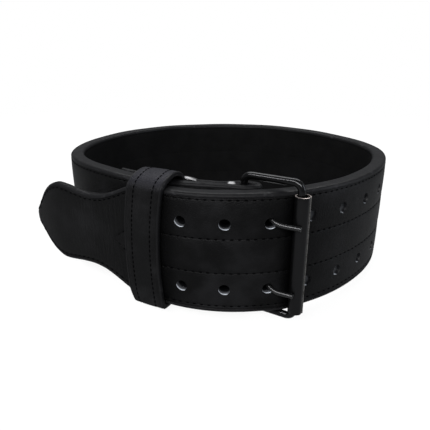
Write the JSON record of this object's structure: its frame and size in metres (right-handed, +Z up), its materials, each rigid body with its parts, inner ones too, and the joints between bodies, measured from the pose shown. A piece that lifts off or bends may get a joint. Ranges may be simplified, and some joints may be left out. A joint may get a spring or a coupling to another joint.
{
  "type": "weightlifting belt",
  "caption": "Thick leather weightlifting belt, fastened in a loop by a roller buckle with prongs, its shaped tongue held under a leather keeper.",
  "frame": {"origin": "centre of the bounding box in plan, on the surface that the belt lies on", "axes": "+Z up through the loop, -Y towards the buckle at the front, +X towards the wearer's side where the strap leaves the roller"},
  "size_m": [0.3462, 0.328, 0.1191],
  "materials": {
    "strap_leather": "black, fine grain, low sheen, painted edges",
    "keeper_leather": "black, fine grain, low sheen",
    "buckle_metal": "black, satin, rubbed brighter along the edges"
  },
  "bodies": {
    "root": {"belt_strap": "strap_leather", "keeper_loop": "keeper_leather", "buckle_frame": "buckle_metal", "roller": "buckle_metal", "prong_upper": "buckle_metal", "prong_lower": "buckle_metal"}
  },
  "joints": []
}
